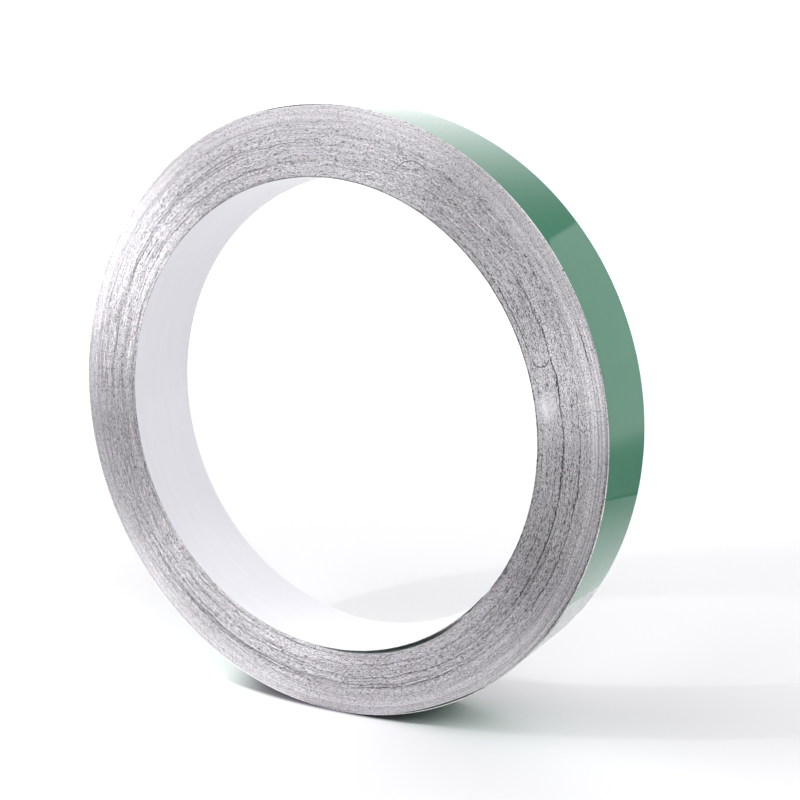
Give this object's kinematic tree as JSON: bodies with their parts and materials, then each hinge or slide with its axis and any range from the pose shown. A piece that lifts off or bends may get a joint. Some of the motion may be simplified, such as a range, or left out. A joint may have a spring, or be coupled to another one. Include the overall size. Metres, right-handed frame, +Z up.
{
  "type": "aluminium channel letter coil",
  "caption": "Round coil of thin painted aluminium strip, wound on edge with an open bore and its outer end taped down, for bending into sign letter sides.",
  "frame": {"origin": "centre of the bore, midway between the two ends of the coil", "axes": "+Y along the bore, from the end shown in the picture to the hidden end; +Z up as the coil stands on its rim; +X to the right, seen from the shown end"},
  "size_m": [0.4199, 0.0606, 0.4197],
  "materials": {
    "strip": "satin",
    "tape": "gloss"
  },
  "bodies": {
    "root": {"coil": "strip", "tail_tape": "tape"}
  },
  "joints": []
}
